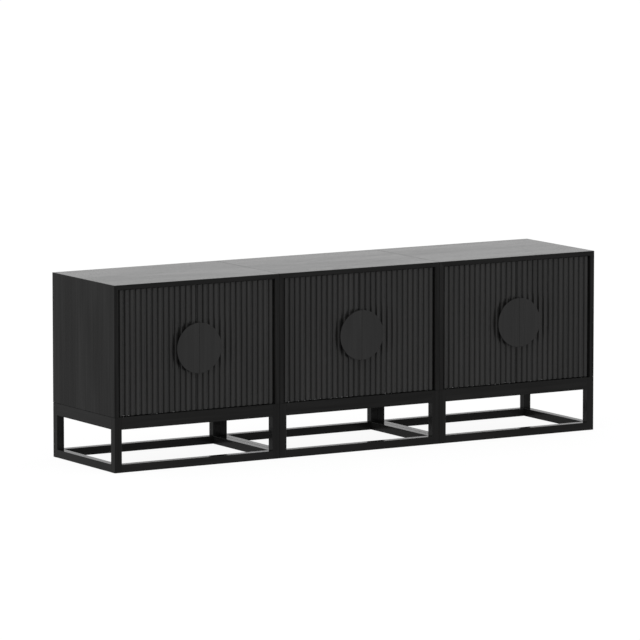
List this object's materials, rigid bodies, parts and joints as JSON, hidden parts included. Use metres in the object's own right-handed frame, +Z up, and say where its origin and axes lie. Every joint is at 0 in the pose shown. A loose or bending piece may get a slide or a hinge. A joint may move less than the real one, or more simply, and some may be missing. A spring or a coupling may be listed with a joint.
{
  "type": "sideboard buffet",
  "caption": "Low black-stained sideboard on open square-section bases, with ribbed inset doors and half-disc handles that meet in pairs as full discs.",
  "frame": {"origin": "on the floor, midway between the ends and midway between the handle fronts and the cabinet backs", "axes": "+X to the right seen from the front, +Y to the back, +Z up"},
  "size_m": [2.123, 0.49, 0.7],
  "materials": {
    "case": "black stain, satin lacquer",
    "base": "black stain, satin lacquer",
    "door": "black stain, matt lacquer",
    "handle": "black stain, matt lacquer",
    "shelf": "black stain, satin lacquer",
    "back": "black foil on thin board",
    "beech": "plain turned beech",
    "steel": "zinc plated",
    "black_steel": "black zinc plated",
    "nylon": "moulded"
  },
  "bodies": {
    "cabinet": {"top_panel_a": "case", "left_side_panel_a": "case", "right_side_panel_a": "case", "bottom_panel_a": "case", "back_panel_a": "back", "shelf_a": "shelf", "base_legs_a": "base", "base_long_rails_a": "base", "base_side_rails_a": "base", "top_panel_b": "case", "left_side_panel_b": "case", "right_side_panel_b": "case", "bottom_panel_b": "case", "back_panel_b": "back", "shelf_b": "shelf", "base_legs_b": "base", "base_long_rails_b": "base", "base_side_rails_b": "base", "top_panel_c": "case", "left_side_panel_c": "case", "right_side_panel_c": "case", "bottom_panel_c": "case", "back_panel_c": "back", "shelf_c": "shelf", "base_legs_c": "base", "base_long_rails_c": "base", "base_side_rails_c": "base", "pivot_plates": "black_steel", "wood_screws": "steel", "shelf_pins": "steel", "glides": "nylon", "magnetic_catches": "nylon", "connector_bolts": "steel", "connector_sleeves": "steel", "base_fixing_screws": "steel", "dowels": "beech"},
    "door_a_left": {"door_a_left": "door", "handle_a_left": "handle", "handle_screws_a_left": "steel", "strike_plate_a_left": "steel"},
    "door_a_right": {"door_a_right": "door", "handle_a_right": "handle", "handle_screws_a_right": "steel", "strike_plate_a_right": "steel"},
    "door_b_left": {"door_b_left": "door", "handle_b_left": "handle", "handle_screws_b_left": "steel", "strike_plate_b_left": "steel"},
    "door_b_right": {"door_b_right": "door", "handle_b_right": "handle", "handle_screws_b_right": "steel", "strike_plate_b_right": "steel"},
    "door_c_left": {"door_c_left": "door", "handle_c_left": "handle", "handle_screws_c_left": "steel", "strike_plate_c_left": "steel"},
    "door_c_right": {"door_c_right": "door", "handle_c_right": "handle", "handle_screws_c_right": "steel", "strike_plate_c_right": "steel"}
  },
  "joints": [
    {"name": "door_a_left_hinge", "type": "hinge", "parent": "cabinet", "child": "door_a_left", "pos_m": [-1.031, -0.215, 0.211], "axis": [0, 0, -1], "range_deg": [0, 90]},
    {"name": "door_a_right_hinge", "type": "hinge", "parent": "cabinet", "child": "door_a_right", "pos_m": [-0.385, -0.215, 0.211], "axis": [0, 0, 1], "range_deg": [0, 90]},
    {"name": "door_b_left_hinge", "type": "hinge", "parent": "cabinet", "child": "door_b_left", "pos_m": [-0.323, -0.215, 0.211], "axis": [0, 0, -1], "range_deg": [0, 90]},
    {"name": "door_b_right_hinge", "type": "hinge", "parent": "cabinet", "child": "door_b_right", "pos_m": [0.323, -0.215, 0.211], "axis": [0, 0, 1], "range_deg": [0, 90]},
    {"name": "door_c_left_hinge", "type": "hinge", "parent": "cabinet", "child": "door_c_left", "pos_m": [0.385, -0.215, 0.211], "axis": [0, 0, -1], "range_deg": [0, 90]},
    {"name": "door_c_right_hinge", "type": "hinge", "parent": "cabinet", "child": "door_c_right", "pos_m": [1.031, -0.215, 0.211], "axis": [0, 0, 1], "range_deg": [0, 90]}
  ]
}
